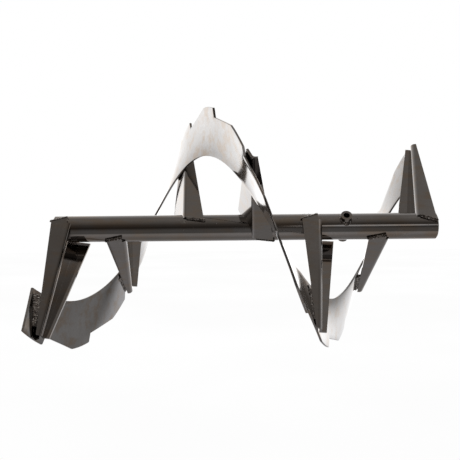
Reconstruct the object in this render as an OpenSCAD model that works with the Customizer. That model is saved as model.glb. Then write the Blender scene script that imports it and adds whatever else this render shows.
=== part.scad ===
// Mortar mixing paddle: a hollow shaft, seven folded arms and a toothed ribbon flighting.
//
// The shaft lies along X with the middle of its axis at the origin. Angles round the shaft are
// measured from +Y (the back) towards +Z (the top). Each arm is drawn in its own station frame:
// x runs along the shaft, y runs straight out from the shaft, and z runs round the shaft, towards
// larger angles. All sizes are in millimetres and degrees.

/* [Shaft] */
// Outside diameter of the shaft tube
shaft_d = 63.5; // [55:0.5:70]
// Wall thickness of the shaft tube
shaft_wall = 6.35; // [4:0.05:8]
// Length of the shaft tube
shaft_length = 918; // [912:1:940]

/* [Ribbon flighting] */
// Travel of the ribbon along the shaft in one full turn
ribbon_pitch = 625; // [615:1:635]
// Inside radius of the ribbon
ribbon_inner_r = 173; // [165:1:180]
// Outside radius of the ribbon, over the teeth
ribbon_outer_r = 288; // [282:1:300]
// Depth of the notch behind each tooth
tooth_depth = 20.6; // [10:0.2:25]
// Angle from one tooth to the next
tooth_pitch = 37.3; // [36:0.1:40]
// Angle of the round tip of each tooth
tooth_tip = 13.8; // [10:0.1:16]
// Thickness of the ribbon plate
ribbon_thickness = 5; // [3:0.5:6]
// Place along the shaft where the ribbon passes straight above it
ribbon_crest_x = -100; // [-105:1:-95]
// Angle of the ribbon's left end
ribbon_start = -131; // [-135:1:-126]
// Angle of the ribbon's right end
ribbon_end = 405; // [404:0.5:406]

/* [Arms] */
// Distance from the shaft axis to the tip of each arm
arm_reach = 280; // [270:1:285]
// Plate thickness of the arms
arm_thickness = 5; // [4:0.5:6]
// Inside radius of the fold
fold_inner_r = 6; // [4:0.5:8]
// Slope of the side flange, which follows the ribbon
side_slope = 23.3; // [20:0.1:26]
// Width of the front flange at the shaft
front_root = 48; // [44:1:50]
// Width of the front flange at the tip
front_tip = 13; // [12:0.5:15]
// Width of the side flange at the shaft
side_root = 88; // [80:1:90]
// Width of the side flange at the tip
side_tip = 29; // [25:1:30]

/* [Drive bolt bosses] */
// Place of the drive bolt along the shaft
bolt_x = 240; // [230:1:250]
// Angle of the front boss round the shaft
bolt_angle = 143; // [135:1:150]
// Diameter of the drive bolt hole
bolt_hole_d = 15; // [12:0.5:17]
// Outside diameter of each boss
boss_d = 27; // [24:0.5:30]
// Distance from the shaft axis to the face of each boss
boss_reach = 44; // [40:0.5:46]

/* [Welds] */
// Radius of the bead along the root of each arm
root_bead_r = 4.5; // [3:0.5:5]
// Spread of the bead on the ribbon beside each arm tip
tip_bead_leg = 6; // [4:0.5:8]

/* [Hidden] */

// Each arm: its angle round the shaft, whether it is turned end for end, the place of its fold
// along the shaft from the ribbon, the lean of the fold towards +X, and whether it is stepped: bent
// square and then bent back, so that it has a second flange behind the first.
ARMS = [
    [-117, false, 46, -7.7, true],
    [-32, false, 27, -4.6, true],
    [47.4, true, 27.5, -1.5, false],
    [142, true, 28.5, -1.6, false],
    [238, false, 26.5, -4.4, true],
    [327.5, false, 30, -4.2, false],
    [404, true, -38, 8.5, true]
];
function arm_angle(k) = ARMS[k - 1][0];
function arm_turned(k) = ARMS[k - 1][1];
function arm_offset(k) = ARMS[k - 1][2];
function arm_lean(k) = ARMS[k - 1][3];
function arm_stepped(k) = ARMS[k - 1][4];

shaft_r = shaft_d / 2;
fold_outer_r = fold_inner_r + arm_thickness;
function arm_slope(k) = arm_stepped(k) ? 0 : side_slope;
function fold_turn(k) = 90 - arm_slope(k);
// The flat part of each flange starts this far from the sharp corner of the fold.
function fold_setback(k) = fold_outer_r * tan(fold_turn(k) / 2);
FOLD_FLATS = 10;
COPE_FLATS = 50;
// Clear gap between the shaft and the inside of the front flange.
seat_gap = 0.2;
arm_plane = shaft_r + seat_gap + arm_thickness;

// Where the ribbon is cut into flights, behind the edges of arms 3 and 5.
FLIGHT_CUTS = [ribbon_start, 54, 231, ribbon_end];

tooth_notch = 1.7;
notch_r = ribbon_outer_r - tooth_depth;
// Angles within one tooth at which the outer edge gets a point.
TOOTH_STEPS = concat(
    [for (i = [0:3]) i * tooth_tip / 4],
    [tooth_tip],
    [for (i = [0:5]) tooth_tip + tooth_notch + i * (tooth_pitch - tooth_tip - tooth_notch) / 6]
);
TOOTH_COUNT = ceil((ribbon_end - ribbon_start) / tooth_pitch);
RIBBON_ANGLES = [
    for (tooth = [0:TOOTH_COUNT - 1])
        for (step = TOOTH_STEPS)
            ribbon_start + tooth * tooth_pitch + step
];
RIBBON_ROWS = 4;

$fn = 96;
colour_steel = "#4f4a47";
colour_ribbon = "#8d8885";
colour_weld = "#6b6460";

// Place of the ribbon's middle surface along the shaft at an angle.
function ribbon_x(angle) = ribbon_crest_x + ribbon_pitch * (angle - 90) / 360;

// Half of the ribbon's thickness, measured along the shaft at a radius.
function ribbon_half_x(r) = ribbon_thickness / 2 * norm([1, ribbon_pitch / (2 * PI * r)]);

// Radius of the toothed outer edge: a round tip, a short notch, and a straight rise to the next tip.
function tooth_r(into_tooth) =
    into_tooth <= tooth_tip ? ribbon_outer_r :
    into_tooth < tooth_tip + tooth_notch ?
        ribbon_outer_r - tooth_depth * (into_tooth - tooth_tip) / tooth_notch :
    min(ribbon_outer_r, notch_r / cos(into_tooth - tooth_tip - tooth_notch));

function outer_r(angle) =
    let (from_start = angle - ribbon_start)
    tooth_r(from_start - tooth_pitch * floor(from_start / tooth_pitch));

function polar(x, angle, r) = [x, r * cos(angle), r * sin(angle)];

// One ring of a flight's points at an angle: the right face outwards, then the left face inwards.
function flight_ring(angle) =
    let (top = outer_r(angle), step = (top - ribbon_inner_r) / RIBBON_ROWS)
    concat(
        [for (i = [0:RIBBON_ROWS]) let (r = ribbon_inner_r + i * step, a = ring_angle(angle, r))
            polar(ribbon_x(a) + ribbon_half_x(r), a, r)],
        [for (i = [RIBBON_ROWS:-1:0]) let (r = ribbon_inner_r + i * step, a = ring_angle(angle, r))
            polar(ribbon_x(a) - ribbon_half_x(r), a, r)]
    );

// The ribbon's last edge is trimmed to the back flange of arm 7, and the other rings are radial.
function ring_angle(angle, r) = angle < ribbon_end ? angle : trim_angle(r);
function trim_angle(r) = min(ribbon_end, arm_angle(7) + atan(back_height(r) / r) - trim_gap);
function back_height(out) = arm_plane - cos(side_slope) * side_width(out);
function side_width(out) = side_root + (side_tip - side_root) * (out - cope_side) / (arm_reach - cope_side);

// Closed solid through rings that all have the same number of points.
module loft(rings) {
    n = len(rings[0]);
    last = len(rings) - 1;
    polyhedron(
        points = [for (ring = rings) each ring],
        faces = concat(
            [[for (i = [0:n - 1]) i]],
            [for (j = [0:last - 1], i = [0:n - 1]) let (next = (i + 1) % n)
                [j * n + i, (j + 1) * n + i, (j + 1) * n + next]],
            [for (j = [0:last - 1], i = [0:n - 1]) let (next = (i + 1) % n)
                [j * n + i, (j + 1) * n + next, j * n + next]],
            [[for (i = [n - 1:-1:0]) last * n + i]]
        )
    );
}

module ribbon_flight(first, last) {
    angles = concat([first], [for (a = RIBBON_ANGLES) if (a > first + 0.2 && a < min(last, trim_angle(ribbon_inner_r)) - 0.2) a], [last]);
    color(colour_ribbon) loft([for (a = angles) flight_ring(a)]);
}

// A cylinder on the shaft axis.
module along_shaft(radius, length) {
    rotate([0, 90, 0]) cylinder(r = radius, h = length, center = true);
}

// Its children's Z axis points straight out from the shaft at the drive bolt.
module at_bolt(angle) {
    translate([bolt_x, 0, 0]) rotate([angle - 90, 0, 0]) children();
}

module shaft_tube() {
    color(colour_steel) difference() {
        along_shaft(shaft_r, shaft_length);
        along_shaft(shaft_r - shaft_wall, shaft_length + 2);
        at_bolt(bolt_angle) cylinder(d = bolt_hole_d, h = 3 * shaft_d, center = true);
    }
}

module bolt_boss(angle) {
    color(colour_steel) difference() {
        at_bolt(angle) translate([0, 0, shaft_r / 2]) cylinder(d = boss_d, h = boss_reach - shaft_r / 2);
        along_shaft(shaft_r, shaft_length);
        at_bolt(angle) cylinder(d = bolt_hole_d, h = 2 * boss_reach);
    }
}

module boss_weld(angle) {
    foot_r = boss_d / 2;
    bead = boss_reach / 9;
    color(colour_weld) difference() {
        at_bolt(angle) rotate_extrude() polygon([
            [foot_r, shaft_r / 2],
            [foot_r + bead, shaft_r / 2],
            [foot_r + bead, shaft_r - bead],
            [foot_r, shaft_r + bead * 0.8]
        ]);
        along_shaft(shaft_r, shaft_length);
    }
}

// Seat of an arm on the shaft: how far out its plate starts. The front flange has a slanting foot
// that reaches past the shaft's axis, and the fold and the side flange are coped round the shaft.
function seat_fold(k) = arm_turned(k) ? 2 : -12;
function seat_front(k) = arm_turned(k) ? -7 : 3;
cope_fold = 2;
cope_side = 16;
END_SLICE = 0.01;
trim_gap = 0.5;

// A flange lying across Y: the outline's first coordinate runs from the fold, its second outwards.
module flange(outline) {
    translate([0, fold_outer_r, 0]) rotate([90, 0, 0]) linear_extrude(arm_thickness) polygon(outline);
}

// Cross-section of the fold, between the two flanges, as a band of short flats.
module fold_section(k) {
    turns = [for (i = [0:FOLD_FLATS]) arm_slope(k) + i * fold_turn(k) / FOLD_FLATS];
    polygon(concat(
        [for (a = turns) fold_outer_r * [cos(a), sin(a)]],
        [for (i = [FOLD_FLATS:-1:0]) fold_inner_r * [cos(turns[i]), sin(turns[i])]]
    ));
}

// The folded plate with the sharp corner of its fold on X = 0. Its front flange runs towards -X
// and its side flange turns away behind it.
module folded_plate(k) {
    setback = fold_setback(k);
    share = arm_stepped(k) ? cos(side_slope) : 1;
    translate([-setback, arm_plane - fold_outer_r, 0]) {
        flange([
            [0, seat_fold(k)],
            [setback - front_root, seat_front(k)],
            [setback - front_tip, arm_reach],
            [0, arm_reach]
        ]);
        rotate(-fold_turn(k)) flange([
            [0, cope_fold],
            [share * side_root - setback, cope_side],
            [share * side_tip - setback, arm_reach],
            [0, arm_reach]
        ]);
        translate([0, 0, cope_fold]) linear_extrude(arm_reach - cope_fold) fold_section(k);
    }
    if (arm_stepped(k)) back_flange();
}

// The second bend of a stepped arm: a strip behind the front flange that turns the other way.
module back_flange() {
    hull() {
        back_flange_end(side_root, cope_side);
        back_flange_end(side_tip, arm_reach - END_SLICE);
    }
}

module back_flange_end(side, out) {
    translate([-arm_thickness, arm_plane - side * cos(side_slope), out])
        cube([arm_thickness + side * sin(side_slope), arm_thickness, END_SLICE]);
}

// Its children are in the arm's own frame: x from the fold, y backwards, z outwards.
module in_arm_frame(k) {
    translate([arm_offset(k), 0, 0]) rotate([0, 0, -arm_lean(k)])
        rotate([0, arm_turned(k) ? 180 : 0, 0]) rotate([-90, 0, 0]) children();
}

// Moves children from the station frame of an arm to its place on the shaft.
module at_station(k) {
    translate([ribbon_x(arm_angle(k)), 0, 0]) rotate([arm_angle(k), 0, 0]) children();
}

// The shaft's outside as a bar with flats, which clears the tube all round.
module cope_bar() {
    corner_r = (shaft_r + seat_gap / 2) / cos(180 / COPE_FLATS);
    rotate([0, 90, 0]) linear_extrude(10 * shaft_d, center = true)
        polygon([for (i = [0:COPE_FLATS - 1]) let (a = 360 * i / COPE_FLATS) corner_r * [cos(a), sin(a)]]);
}

module arm(k) {
    color(colour_steel) at_station(k) difference() {
        in_arm_frame(k) folded_plate(k);
        cope_bar();
    }
}

// The bead under the foot of the front flange: half a round bar, cut to the shaft.
module root_weld(k) {
    run = front_root - fold_setback(k);
    rise = seat_front(k) - seat_fold(k);
    length = norm([run, rise]);
    color(colour_weld) at_station(k) difference() {
        in_arm_frame(k) translate([-fold_setback(k), arm_plane - arm_thickness / 2, seat_fold(k)])
            rotate([0, atan2(rise, run), 0]) intersection() {
                union() {
                    translate([-length, 0, 0]) rotate([0, 90, 0]) cylinder(r = root_bead_r, h = length);
                    translate([-length, 0, 0]) sphere(root_bead_r);
                }
                translate([-1.5 * length, -root_bead_r, -2 * root_bead_r])
                    cube([2 * length, 2 * root_bead_r, 2 * root_bead_r]);
            }
        along_shaft(shaft_r, 10 * shaft_d);
    }
}

// A point of the arm's frame, given as [from the fold, outwards, round the shaft], moved to the
// station frame.
function to_station(p, k) =
    let (side = arm_turned(k) ? -1 : 1, lean = arm_lean(k), x = side * p.x)
    [arm_offset(k) + x * cos(lean) + p.y * sin(lean), p.y * cos(lean) - x * sin(lean), side * p.z];

// The two corners of the edge that is welded to the ribbon, at a distance out along the fold. On
// arms 1, 2, 5 and 6 it is the edge of the front flange, and on the turned arms the side flange.
function welded_edge(k, out) =
    let (
        front_share = (out - seat_front(k)) / (arm_reach - seat_front(k)),
        front_w = front_root + (front_tip - front_root) * front_share,
        side_w = side_width(out),
        outer = [side_w * sin(side_slope), out, side_w * cos(side_slope) - arm_plane],
        inner = outer + arm_thickness * [-cos(side_slope), 0, sin(side_slope)]
    )
    !arm_turned(k) ? [[-front_w, out, -arm_plane], [-front_w, out, arm_thickness - arm_plane]] :
    arm_offset(k) > 0 ? [inner, outer] : [outer, inner];

// Place on the ribbon's face at the same height and the same way round as a station point.
function on_ribbon(p, face) =
    [ribbon_pitch / 360 * atan2(p.z, p.y) + face * ribbon_half_x(norm([p.y, p.z])), p.y, p.z];

// Section of the bead between an arm's edge and the ribbon.
function tip_section(k, out) = arm_turned(k) && arm_stepped(k) ? back_section(k, out) : edge_section(k, out);

// Section of the bead in the corner between the ribbon's face and a stepped arm's back flange.
function back_section(k, out) =
    let (
        heel = on_ribbon([0, out, back_height(out) - 2 * seat_gap], -1),
        side = heel - [tip_bead_leg, 0, 0],
        foot = on_ribbon(heel - [0, 0, tip_bead_leg], -1),
        crown = (side + foot) / 2 - tip_bead_leg / 8 * [1, 0, 1]
    )
    [side, crown, foot, (foot + heel) / 2, heel];

function edge_section(k, out) =
    let (
        face = arm_offset(k) > 0 ? 1 : -1,
        edge = [for (p = welded_edge(k, out)) to_station(p, k)],
        foot = on_ribbon(edge[0] - [0, 0, tip_bead_leg], face),
        heel = on_ribbon(edge[1], face),
        crown = (edge[0] + foot) / 2 - [0, 0, tip_bead_leg / 5]
    )
    [edge[0], crown, foot, heel, edge[1]];

// Where each bead between arm and ribbon starts and ends, measured outwards.
function tip_bead_from(k) = arm_offset(k) > 0 ? ribbon_inner_r + 14 : arm_reach - 55;
tip_bead_to = notch_r - 6;
TIP_SECTIONS = 8;

module tip_weld(k) {
    step = (tip_bead_to - tip_bead_from(k)) / TIP_SECTIONS;
    rings = [for (i = [0:TIP_SECTIONS]) tip_section(k, tip_bead_from(k) + i * step)];
    color(colour_weld) at_station(k) loft(rings);
}

shaft_tube();
bolt_boss(bolt_angle);  // front_bolt_boss
bolt_boss(bolt_angle + 180);  // rear_bolt_boss
boss_weld(bolt_angle);  // front_boss_weld
boss_weld(bolt_angle + 180);  // rear_boss_weld
for (i = [1:3]) ribbon_flight(FLIGHT_CUTS[i - 1], FLIGHT_CUTS[i]);
for (k = [1:7]) arm(k);
for (k = [1:7]) root_weld(k);
for (k = [1:7]) tip_weld(k);
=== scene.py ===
"""Looks of the mortar mixing paddle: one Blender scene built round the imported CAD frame."""
import math
import random

import bmesh
import bpy
from mathutils import Matrix, Vector, noise


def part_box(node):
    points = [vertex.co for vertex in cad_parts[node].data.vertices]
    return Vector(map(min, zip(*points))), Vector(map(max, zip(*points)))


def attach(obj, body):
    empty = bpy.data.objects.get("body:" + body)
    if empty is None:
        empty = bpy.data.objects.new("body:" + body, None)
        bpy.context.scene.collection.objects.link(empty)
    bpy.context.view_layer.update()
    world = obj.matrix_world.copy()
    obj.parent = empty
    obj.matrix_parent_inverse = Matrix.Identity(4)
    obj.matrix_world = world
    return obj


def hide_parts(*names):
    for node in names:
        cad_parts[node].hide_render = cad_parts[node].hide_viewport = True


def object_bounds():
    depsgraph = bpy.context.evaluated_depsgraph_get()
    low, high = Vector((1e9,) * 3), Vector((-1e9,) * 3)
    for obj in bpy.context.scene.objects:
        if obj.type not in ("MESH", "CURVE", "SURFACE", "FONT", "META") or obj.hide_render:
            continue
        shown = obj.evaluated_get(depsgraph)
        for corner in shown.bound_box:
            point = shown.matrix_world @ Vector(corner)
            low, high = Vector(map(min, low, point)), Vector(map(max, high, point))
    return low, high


# The ribbon, as the CAD model has it: metres and radians, angles from +Y towards +Z.
RIBBON_PITCH = 0.625
RIBBON_CREST_X = -0.100
RIBBON_INNER_R = 0.173
RIBBON_OUTER_R = 0.288
RIBBON_HALF = 0.0025
RIBBON_CUTS = [math.radians(a) for a in (-131, 54, 231, 405)]
EDGE_ROUND = 0.0009
RIBBON_ROWS = 9
RIBBON_WAVE = 0.00025
TOOTH_DEPTH = 0.0206
TOOTH_PITCH = math.radians(37.3)
TOOTH_TIP = math.radians(13.8)
TOOTH_NOTCH = math.radians(1.7)
TOOTH_COUNT = 16

# The last arm, whose back flange the ribbon's right end is trimmed to.
LAST_ARM_ANGLE = math.radians(404)
TRIM_GAP = math.radians(0.5)
ARM_PLANE = 0.03695
ARM_REACH = 0.280
SIDE_START = 0.016
SIDE_ROOT = 0.088
SIDE_TIP = 0.029
SIDE_SLOPE = math.radians(23.3)

# The shaft tube and the drive bolt.
TUBE_R = 0.03175
TUBE_BORE_R = 0.0254
BOLT_X = 0.240
BOLT_ANGLE = math.radians(143)
BOLT_R = 0.0075

# Finish of the edges and beads.
PLATE_ROUND = 0.0012
BOSS_ROUND = 0.0008
BEAD_VOXEL = 0.0009

# The camera: where it stands and how it is turned from looking straight along +Y.
CAMERA_AT = (-0.0281, -1.6316, 0.0065)
CAMERA_YAW = math.radians(-0.30)
CAMERA_PITCH = math.radians(0.43)
CAMERA_ROLL = math.radians(-0.57)
CAMERA_LENS = 52.75

# The studio, in degrees round the object from straight behind it, positive to its right: where
# the white sweep fades in and out, and the soft boxes as (bearing, elevation, radius of the full
# light, radius where it ends, brightness).
SWEEP_LEFT = (-82, -38)
SWEEP_RIGHT = (34, 54)
SOFT_BOXES = [(-80, 22, 8, 30, 0.5), (168, 8, 2, 9, 0.6), (100, 58, 4, 18, 0.8), (78, 4, 24, 46, 0.27),
              (176, -40, 16, 48, 0.12)]


# ---------------------------------------------------------------- shader helpers

class Nodes:
    """A short way to build a node tree: each call adds a node and returns its output."""

    def __init__(self, tree):
        self.tree = tree
        tree.nodes.clear()

    def add(self, kind, inputs=(), output=0, **settings):
        node = self.tree.nodes.new(kind)
        for key, value in settings.items():
            setattr(node, key, value)
        for key, value in dict(inputs).items():
            self.feed(node.inputs[key], value)
        return node.outputs[output] if node.outputs else None

    def feed(self, socket, value):
        if isinstance(value, bpy.types.NodeSocket):
            self.tree.links.new(value, socket)
        else:
            socket.default_value = value

    def math(self, operation, a, b):
        return self.add("ShaderNodeMath", {0: a, 1: b}, operation=operation)

    def smooth(self, value, low, high, to_low=0.0, to_high=1.0):
        return self.add("ShaderNodeMapRange", {0: value, 1: low, 2: high, 3: to_low, 4: to_high},
                        interpolation_type="SMOOTHSTEP")

    def ramp(self, value, stops):
        node = self.tree.nodes.new("ShaderNodeValToRGB")
        self.tree.links.new(value, node.inputs[0])
        elements = node.color_ramp.elements
        while len(elements) < len(stops):
            elements.new(0.5)
        for element, (place, colour) in zip(elements, stops):
            element.position = place
            element.color = (*colour, 1)
        return node.outputs[0]

    def mix(self, share, a, b, blend="MIX"):
        return self.add("ShaderNodeMix", {0: share, 6: a, 7: b}, output=2,
                        data_type="RGBA", blend_type=blend)

    def noise(self, vector, scale, detail=3.0, roughness=0.5):
        return self.add("ShaderNodeTexNoise", {"Vector": vector, "Scale": scale, "Detail": detail,
                                               "Roughness": roughness})

    def stretch(self, vector, scale):
        return self.add("ShaderNodeMapping", {"Vector": vector, "Scale": scale})


def grey(level):
    return (level, level, level, 1)


# ---------------------------------------------------------------- materials

def steel(name, base, tint, roughness, peel, grain):
    """Dark mirror-like steel. base and tint are its two colours, roughness its range, peel the
    depth of the coat's ripple in metres, and grain the stretch of the rolling marks."""
    material = bpy.data.materials.new(name)
    material.use_nodes = True
    n = Nodes(material.node_tree)
    place = n.add("ShaderNodeTexCoord", output=3)
    clouds = n.noise(place, 7.0, 4.0, 0.55)
    marks = n.noise(n.stretch(place, grain), 26.0, 4.0, 0.6)
    dust = n.noise(place, 900.0, 2.0, 0.7)
    colour = n.mix(n.smooth(clouds, 0.35, 0.68), (*base, 1), (*tint, 1))
    colour = n.mix(n.smooth(marks, 0.45, 0.80, 0.0, 0.18), colour, (*(c * 0.6 for c in base), 1))
    smudge = n.smooth(n.noise(place, 11.0, 5.0, 0.6), 0.42, 0.72, roughness[0], roughness[1])
    rough = n.math("ADD", smudge, n.smooth(marks, 0.5, 0.8, 0.0, 0.03))
    rounded = n.add("ShaderNodeBevel", {"Radius": 0.0016})
    flat = n.add("ShaderNodeNewGeometry", output=1)
    facing = n.add("ShaderNodeVectorMath", {0: rounded, 1: flat}, output=1, operation="DOT_PRODUCT")
    edge = n.smooth(facing, 0.80, 0.97, 1.0, 0.0)
    film = n.smooth(n.noise(n.stretch(place, (1, 2.5, 2.5)), 14.0, 5.0, 0.6), 0.44, 0.66, 0.0, 0.8)
    colour = n.mix(film, colour, (0.34, 0.27, 0.21, 1))
    colour = n.mix(n.smooth(dust, 0.42, 0.62, 0.0, 0.35), colour, (0.17, 0.155, 0.145, 1))
    worn = n.math("MULTIPLY", edge, n.smooth(n.noise(place, 130.0), 0.4, 0.6))
    worn = n.math("MAXIMUM", worn, scratches(n, place))
    colour = n.mix(worn, colour, (0.50, 0.48, 0.45, 1))
    height = n.math("ADD", n.math("MULTIPLY", n.noise(place, 30.0, 1.0), 0.6),
                    n.math("MULTIPLY", dust, 0.06))
    height = n.math("ADD", height, n.math("MULTIPLY", marks, 0.08))
    bump = n.add("ShaderNodeBump", {"Strength": 1.0, "Distance": peel, "Height": height})
    surface = n.add("ShaderNodeBsdfPrincipled", {
        "Base Color": colour, "Metallic": 1.0, "Roughness": rough, "Normal": bump,
        "Coat Weight": 0.25, "Coat Roughness": 0.04})
    n.add("ShaderNodeOutputMaterial", {"Surface": surface})
    return material


def scratches(n, place):
    """Short thin scratches, in a few places only, where the coat has been rubbed."""
    lines = n.add("ShaderNodeTexVoronoi", {"Vector": n.stretch(place, (3, 1, 1)), "Scale": 42.0},
                  feature="DISTANCE_TO_EDGE")
    thin = n.smooth(lines, 0.004, 0.012, 1.0, 0.0)
    some = n.smooth(n.noise(place, 16.0), 0.58, 0.64)
    return n.math("MULTIPLY", thin, n.math("MULTIPLY", some, 0.8))


def weld_steel(name):
    """Weld metal under the same coat: brighter and rougher, with soot and bare bright specks."""
    material = bpy.data.materials.new(name)
    material.use_nodes = True
    n = Nodes(material.node_tree)
    place = n.add("ShaderNodeTexCoord", output=3)
    patches = n.noise(place, 95.0, 4.0, 0.6)
    specks = n.noise(place, 300.0, 2.0, 0.5)
    colour = n.ramp(patches, [(0.34, (0.06, 0.05, 0.045)), (0.50, (0.24, 0.21, 0.19)),
                              (0.66, (0.48, 0.44, 0.40))])
    colour = n.mix(n.smooth(specks, 0.57, 0.66), colour, (0.88, 0.85, 0.82, 1))
    rough = n.smooth(patches, 0.35, 0.7, 0.26, 0.12)
    bump = n.add("ShaderNodeBump", {"Strength": 1.0, "Distance": 0.0022, "Height": specks})
    surface = n.add("ShaderNodeBsdfPrincipled", {
        "Base Color": colour, "Metallic": 1.0, "Roughness": rough, "Normal": bump})
    n.add("ShaderNodeOutputMaterial", {"Surface": surface})
    return material


# ---------------------------------------------------------------- mesh helpers

def mesh_object(name, verts, faces, material):
    mesh = bpy.data.meshes.new(name)
    mesh.from_pydata([tuple(v) for v in verts], [], faces)
    mesh.validate()
    obj = bpy.data.objects.new(name, mesh)
    bpy.context.scene.collection.objects.link(obj)
    mesh.materials.append(material)
    return obj


def shade(obj, sharp_degrees=30):
    """Smooth shading with hard edges kept, and flat faces kept flat."""
    obj.data.polygons.foreach_set("use_smooth", [True] * len(obj.data.polygons))
    obj.data.set_sharp_from_angle(angle=math.radians(sharp_degrees))
    weighted = obj.modifiers.new("flat faces", "WEIGHTED_NORMAL")
    weighted.keep_sharp = True
    return obj


def own_copy(node, name, material):
    """A copy of a CAD node with its flat faces made whole, to be worked up as a finished piece."""
    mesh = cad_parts[node].data.copy()
    mesh.materials.clear()
    mesh.materials.append(material)
    obj = bpy.data.objects.new(name, mesh)
    bpy.context.scene.collection.objects.link(obj)
    work = bmesh.new()
    work.from_mesh(mesh)
    bmesh.ops.remove_doubles(work, verts=work.verts, dist=2e-6)
    bmesh.ops.dissolve_limit(work, angle_limit=math.radians(0.6), verts=work.verts, edges=work.edges)
    for face in work.faces:
        face.smooth = True
        face.material_index = 0
    work.to_mesh(mesh)
    work.free()
    if mesh.has_custom_normals:
        mesh.normals_split_custom_set([(0, 0, 0)] * len(mesh.loops))
    return obj


def soften(obj, width):
    """Rounds the hard edges of a plate or boss by a small radius."""
    bevel = obj.modifiers.new("rounded edges", "BEVEL")
    bevel.width = width
    bevel.segments = 2
    bevel.limit_method = "ANGLE"
    bevel.angle_limit = math.radians(32)
    bevel.miter_outer = "MITER_ARC"
    return obj


def show(obj, material_slot, *nodes):
    """The finished piece rides on the one rigid body, and the CAD nodes it takes the place of are hidden."""
    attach(obj, "root")
    if nodes:
        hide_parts(*nodes)
    return obj


# ---------------------------------------------------------------- ribbon

def tooth_radius(angle):
    """Radius of the ribbon's outer edge: a round tip, a short notch, then a straight rise."""
    into = (angle - RIBBON_CUTS[0]) % TOOTH_PITCH
    if into <= TOOTH_TIP:
        return RIBBON_OUTER_R
    if into < TOOTH_TIP + TOOTH_NOTCH:
        return RIBBON_OUTER_R - TOOTH_DEPTH * (into - TOOTH_TIP) / TOOTH_NOTCH
    rise = (RIBBON_OUTER_R - TOOTH_DEPTH) / math.cos(into - TOOTH_TIP - TOOTH_NOTCH)
    return min(RIBBON_OUTER_R, rise)


def trim_angle(r):
    """Where the ribbon's last edge is cut, to meet the back flange of the last arm."""
    side = SIDE_ROOT + (SIDE_TIP - SIDE_ROOT) * (r - SIDE_START) / (ARM_REACH - SIDE_START)
    back = ARM_PLANE - math.cos(SIDE_SLOPE) * side
    return min(RIBBON_CUTS[-1], LAST_ARM_ANGLE + math.atan(back / r) - TRIM_GAP)


def ribbon_point(angle, r, through):
    """A point of the ribbon; through runs from -1 on its left face to 1 on its right face."""
    if angle >= RIBBON_CUTS[-1]:
        angle = trim_angle(r)
    slope = RIBBON_PITCH / (2 * math.pi * r)
    across = (r - RIBBON_INNER_R) / (RIBBON_OUTER_R - RIBBON_INNER_R)
    wave = RIBBON_WAVE * math.sin(5.1 * angle + 30 * r) * math.sin(math.pi * across)
    x = RIBBON_CREST_X + RIBBON_PITCH * (angle - math.pi / 2) / (2 * math.pi)
    x += wave + through * RIBBON_HALF * math.hypot(1, slope)
    return Vector((x, r * math.cos(angle), r * math.sin(angle)))


def ribbon_ring(angle):
    """The ribbon's cross-section at an angle, once round, with its four edges rounded off."""
    top = tooth_radius(angle)
    low, high = RIBBON_INNER_R + EDGE_ROUND, top - EDGE_ROUND
    across = [low + (high - low) * i / RIBBON_ROWS for i in range(RIBBON_ROWS + 1)]
    inset = 1 - EDGE_ROUND / RIBBON_HALF
    right = [ribbon_point(angle, r, 1) for r in across]
    left = [ribbon_point(angle, r, -1) for r in reversed(across)]
    outer = [ribbon_point(angle, top, inset), ribbon_point(angle, top, -inset)]
    inner = [ribbon_point(angle, RIBBON_INNER_R, -inset), ribbon_point(angle, RIBBON_INNER_R, inset)]
    return right + outer + left + inner


def ribbon_angles(first, last):
    """Every degree, and every corner of the toothed edge, between two angles."""
    corners = []
    for tooth in range(TOOTH_COUNT):
        start = RIBBON_CUTS[0] + tooth * TOOTH_PITCH
        corners += [start, start + TOOTH_TIP, start + TOOTH_TIP + TOOTH_NOTCH]
    count = round(math.degrees(last - first))
    steps = [first + (last - first) * i / count for i in range(1, count)]
    near = math.radians(0.45)
    last_radial = min(last, trim_angle(RIBBON_INNER_R))
    steps = [a for a in steps if a < last_radial - near and all(abs(a - c) > near for c in corners)]
    return [first] + sorted(steps + [c for c in corners if first + near < c < last_radial - near]) + [last]


def ribbon_flight(number, material):
    first, last = RIBBON_CUTS[number - 1], RIBBON_CUTS[number]
    rings = [ribbon_ring(a) for a in ribbon_angles(first, last)]
    n = len(rings[0])
    verts = [p for ring in rings for p in ring]
    faces = [tuple(range(n)), tuple(range(len(verts) - 1, len(verts) - n - 1, -1))]
    for j in range(len(rings) - 1):
        for i in range(n):
            k = (i + 1) % n
            faces.append((j * n + i, (j + 1) * n + i, (j + 1) * n + k, j * n + k))
    obj = shade(mesh_object(f"flight_{number}", verts, faces, material), 50)
    return show(obj, "ribbon_steel", f"ribbon_flight_{number}")


# ---------------------------------------------------------------- shaft and bosses

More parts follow.
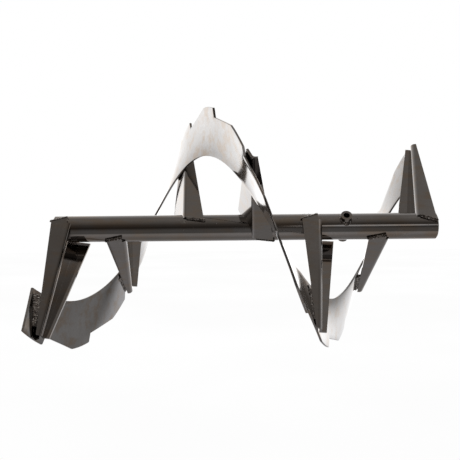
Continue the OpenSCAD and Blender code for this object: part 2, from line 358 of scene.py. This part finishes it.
def turned_tube(material):
    """The shaft tube: a turned profile, drilled through for the drive bolt."""
    low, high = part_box("shaft_tube")
    chamfer, segments = 0.0012, 144
    mid = [low.x + 0.02, BOLT_X - 0.03, BOLT_X + 0.03, high.x - 0.02]
    outside = [(low.x + chamfer, TUBE_R)] + [(x, TUBE_R) for x in mid] + [(high.x - chamfer, TUBE_R)]
    inside = [(high.x - chamfer, TUBE_BORE_R)] + [(x, TUBE_BORE_R) for x in reversed(mid)]
    inside += [(low.x + chamfer, TUBE_BORE_R)]
    profile = outside + [(high.x, TUBE_R - chamfer), (high.x, TUBE_BORE_R + chamfer)] + inside
    profile += [(low.x, TUBE_BORE_R + chamfer), (low.x, TUBE_R - chamfer)]
    verts = []
    for x, r in profile:
        for s in range(segments):
            turn = 2 * math.pi * s / segments
            verts.append(Vector((x, r * math.cos(turn), r * math.sin(turn))))
    faces = []
    for j in range(len(profile)):
        here, there = j * segments, ((j + 1) % len(profile)) * segments
        for s in range(segments):
            t = (s + 1) % segments
            faces.append((here + s, here + t, there + t, there + s))
    obj = mesh_object("shaft", verts, faces, material)
    drill_through(obj)
    return show(shade(obj, 25), "painted_steel", "shaft_tube")


def drill_through(obj):
    """Cuts the drive bolt's hole through both walls of the tube."""
    bpy.ops.mesh.primitive_cylinder_add(vertices=64, radius=BOLT_R, depth=4 * TUBE_R,
                                        location=(BOLT_X, 0, 0), rotation=(BOLT_ANGLE - math.pi / 2, 0, 0))
    drill = bpy.context.object
    cut = obj.modifiers.new("bolt hole", "BOOLEAN")
    cut.operation = "DIFFERENCE"
    cut.object = drill
    depsgraph = bpy.context.evaluated_depsgraph_get()
    drilled = bpy.data.meshes.new_from_object(obj.evaluated_get(depsgraph))
    obj.modifiers.clear()
    obj.data = drilled
    bpy.data.objects.remove(drill)


def plate_piece(node, name, material, edge):
    obj = soften(own_copy(node, name, material), edge)
    shade(obj, 35)
    return show(obj, "painted_steel", node)


# ---------------------------------------------------------------- weld beads

def bead(node, name, material, ripple, pitch):
    """A weld bead: the CAD bead remeshed finely, with the puddle's ripples along its length.
    ripple is their height and pitch the distance between them, in metres."""
    obj = own_copy(node, name, material)
    fine = obj.modifiers.new("fine mesh", "REMESH")
    fine.mode = "VOXEL"
    fine.voxel_size = BEAD_VOXEL
    depsgraph = bpy.context.evaluated_depsgraph_get()
    mesh = bpy.data.meshes.new_from_object(obj.evaluated_get(depsgraph))
    obj.modifiers.clear()
    obj.data = mesh
    centre = box_centre(node)
    along = longest_axis(mesh, centre)
    seed = sum(map(ord, name))
    normals = [v.normal.copy() for v in mesh.vertices]
    for vertex, normal in zip(mesh.vertices, normals):
        run = (vertex.co - centre).dot(along)
        lump = noise.noise(vertex.co * 160 + Vector((seed, 0, 0)))
        arc = abs(math.sin(math.pi * (run / pitch + 0.25 * lump)))
        vertex.co += normal * ripple * (0.6 * (arc - 0.7) + 0.9 * lump)
    mesh.materials.clear()
    mesh.materials.append(material)
    mesh.polygons.foreach_set("use_smooth", [True] * len(mesh.polygons))
    smooth = obj.modifiers.new("melted", "SMOOTH")
    smooth.factor = 0.5
    smooth.iterations = 2
    return show(obj, "weld_bead", node)


def box_centre(node):
    low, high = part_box(node)
    return (low + high) / 2


def longest_axis(mesh, centre):
    """The direction in which a mesh is longest, found by a few turns of power iteration."""
    spread = Matrix(((0, 0, 0), (0, 0, 0), (0, 0, 0)))
    for vertex in mesh.vertices:
        arm = vertex.co - centre
        for i in range(3):
            for j in range(3):
                spread[i][j] += arm[i] * arm[j]
    axis = Vector((1, 0.7, 0.4))
    for _ in range(24):
        axis = (spread @ axis).normalized()
    return axis


def spatter(name, centres, material, reach, count):
    """Beads of weld metal thrown on to the tube round some welds."""
    chance = random.Random(11)
    last_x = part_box("shaft_tube")[1].x
    work = bmesh.new()
    for centre in centres:
        for _ in range(count):
            off = [chance.gauss(0, reach) for _ in range(3)]
            spot = centre + Vector(off)
            spot.x = min(spot.x, last_x - 0.003)
            out = Vector((0, spot.y, spot.z)).normalized()
            size = chance.uniform(0.0004, 0.0011)
            place = Vector((spot.x, 0, 0)) + out * TUBE_R
            flat = Matrix.Diagonal((1, 1, 0.6)).to_4x4()
            turn = out.to_track_quat("Z", "Y").to_matrix().to_4x4()
            bmesh.ops.create_icosphere(work, subdivisions=2, radius=size,
                                       matrix=Matrix.Translation(place) @ turn @ flat)
    for face in work.faces:
        face.smooth = True
    mesh = bpy.data.meshes.new(name)
    work.to_mesh(mesh)
    work.free()
    mesh.materials.append(material)
    obj = bpy.data.objects.new(name, mesh)
    bpy.context.scene.collection.objects.link(obj)
    return show(obj, "weld_bead")


# ---------------------------------------------------------------- stage, light and camera

def set_camera():
    data = bpy.data.cameras.new("camera")
    data.lens = CAMERA_LENS
    data.sensor_width = 36
    data.clip_end = 50
    camera = bpy.data.objects.new("camera", data)
    bpy.context.scene.collection.objects.link(camera)
    turn = (Matrix.Rotation(CAMERA_ROLL, 3, "Y") @ Matrix.Rotation(CAMERA_PITCH, 3, "X")
            @ Matrix.Rotation(CAMERA_YAW, 3, "Z"))
    look_ahead = Matrix.Rotation(math.pi / 2, 3, "X")
    camera.matrix_world = Matrix.Translation(CAMERA_AT) @ (turn.transposed() @ look_ahead).to_4x4()
    bpy.context.scene.camera = camera


def set_world():
    """A studio seen only in the steel: a white sweep behind the object, a dark room in front of
    it and above it, a grey table under it, and soft boxes. Looked at directly, it is plain white."""
    world = bpy.data.worlds.new("studio")
    bpy.context.scene.world = world
    world.use_nodes = True
    n = Nodes(world.node_tree)
    direction = n.add("ShaderNodeTexCoord", output=0)
    split = n.tree.nodes.new("ShaderNodeSeparateXYZ")
    n.tree.links.new(direction, split.inputs[0])
    x, y, z = split.outputs
    height = n.math("ADD", n.math("MULTIPLY", z, 0.5), 0.5)
    bearing = n.math("ARCTAN2", x, y)
    room = n.ramp(height, [
        (0.00, (0.30, 0.28, 0.27)), (0.08, (0.28, 0.265, 0.26)), (0.135, (0.22, 0.21, 0.20)),
        (0.150, (0.035, 0.03, 0.027)), (0.50, (0.028, 0.023, 0.02)), (0.75, (0.09, 0.08, 0.072)),
        (0.93, (0.22, 0.205, 0.19)), (1.00, (0.28, 0.265, 0.25))])
    sweep = n.ramp(height, [
        (0.00, (0.15, 0.145, 0.14)), (0.07, (0.17, 0.165, 0.165)), (0.15, (0.22, 0.215, 0.215)),
        (0.25, (0.26, 0.255, 0.26)), (0.37, (0.42, 0.42, 0.43)), (0.45, (0.95, 0.95, 0.95)),
        (0.58, (0.95, 0.945, 0.94)), (0.68, (0.60, 0.595, 0.59)), (0.80, (0.40, 0.395, 0.39)),
        (0.93, (0.25, 0.245, 0.24)), (1.00, (0.14, 0.135, 0.13))])
    sweep = n.mix(1.0, sweep, grey(1.75), "MULTIPLY")
    left, right = [math.radians(a) for a in SWEEP_LEFT], [math.radians(a) for a in SWEEP_RIGHT]
    behind = n.math("MULTIPLY", n.smooth(bearing, *left), n.smooth(bearing, *right, 1.0, 0.0))
    studio = n.mix(behind, room, sweep)
    for bearing_at, elevation, inner, outer, level in SOFT_BOXES:
        studio = n.mix(1.0, studio, soft_box(n, direction, bearing_at, elevation, inner, outer, level), "ADD")
    seen = n.add("ShaderNodeLightPath", output=0)
    in_steel = n.add("ShaderNodeBackground", {"Color": studio, "Strength": 1.0})
    direct = n.add("ShaderNodeBackground", {"Color": grey(1.0), "Strength": 1.0})
    both = n.add("ShaderNodeMixShader", {0: seen, 1: in_steel, 2: direct})
    n.add("ShaderNodeOutputWorld", {"Surface": both})


def soft_box(n, direction, bearing, elevation, inner, outer, level):
    """A round patch of light. Bearing 0 is behind the object and 90 is to its right."""
    a, e = math.radians(bearing), math.radians(elevation)
    way = (math.sin(a) * math.cos(e), math.cos(a) * math.cos(e), math.sin(e))
    facing = n.add("ShaderNodeVectorMath", {0: direction, 1: way}, output=1, operation="DOT_PRODUCT")
    edges = math.cos(math.radians(outer)), math.cos(math.radians(inner))
    return n.smooth(facing, *edges, 0.0, level)


def set_floor():
    """A pale floor just under the object. It is bright enough to hold no shadow, as on a light
    table, and the steel mirrors the studio instead of it."""
    low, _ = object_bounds()
    half = 6.0
    corners = [(-half, -half), (half, -half), (half, half), (-half, half)]
    material = bpy.data.materials.new("floor")
    material.use_nodes = True
    n = Nodes(material.node_tree)
    place = n.add("ShaderNodeTexCoord", output=3)
    tone = n.smooth(n.noise(place, 1.5), 0.3, 0.7, 0.98, 1.0)
    glow = n.add("ShaderNodeEmission", {"Color": n.mix(1.0, grey(1.0), tone, "MULTIPLY"), "Strength": 1.0})
    n.add("ShaderNodeOutputMaterial", {"Surface": glow})
    floor = mesh_object("floor", [(x, y, low[2] - 0.001) for x, y in corners], [(0, 1, 2, 3)], material)
    floor.visible_glossy = False
    floor.visible_diffuse = False


# ---------------------------------------------------------------- the scene

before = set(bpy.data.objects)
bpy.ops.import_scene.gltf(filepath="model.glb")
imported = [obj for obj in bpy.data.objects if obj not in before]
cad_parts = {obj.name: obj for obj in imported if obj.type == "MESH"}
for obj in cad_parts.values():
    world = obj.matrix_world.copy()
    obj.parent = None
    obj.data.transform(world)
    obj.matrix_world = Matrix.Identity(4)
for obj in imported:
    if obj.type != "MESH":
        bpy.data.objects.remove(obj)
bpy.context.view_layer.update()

bpy.context.scene.view_settings.view_transform = "Standard"
set_camera()
set_world()
set_floor()

painted = steel("painted_steel", base=(0.30, 0.28, 0.265), tint=(0.34, 0.325, 0.32),
                roughness=(0.05, 0.13), peel=0.00006, grain=(1, 6, 6))
ribbon_metal = steel("ribbon_steel", base=(0.36, 0.35, 0.345), tint=(0.41, 0.40, 0.395),
                     roughness=(0.07, 0.14), peel=0.00006, grain=(2, 2, 2))
weld_metal = weld_steel("weld_bead")

turned_tube(painted)
plate_piece("front_bolt_boss", "front_boss", painted, BOSS_ROUND)
plate_piece("rear_bolt_boss", "rear_boss", painted, BOSS_ROUND)
for number in (1, 2, 3):
    ribbon_flight(number, ribbon_metal)
for number in range(1, 8):
    plate_piece(f"arm_{number}", f"arm_{number}_plate", painted, PLATE_ROUND)
    bead(f"root_weld_{number}", f"root_bead_{number}", weld_metal, 0.0006, 0.0052)
    bead(f"tip_weld_{number}", f"tip_bead_{number}", weld_metal, 0.0008, 0.0060)
bead("front_boss_weld", "front_boss_bead", weld_metal, 0.0005, 0.0045)
bead("rear_boss_weld", "rear_boss_bead", weld_metal, 0.0005, 0.0045)

front_welds = ["front_boss_weld", "root_weld_3", "root_weld_5", "root_weld_7"]
spatter("weld_spatter", [box_centre(weld) for weld in front_welds], weld_metal, 0.014, 26)
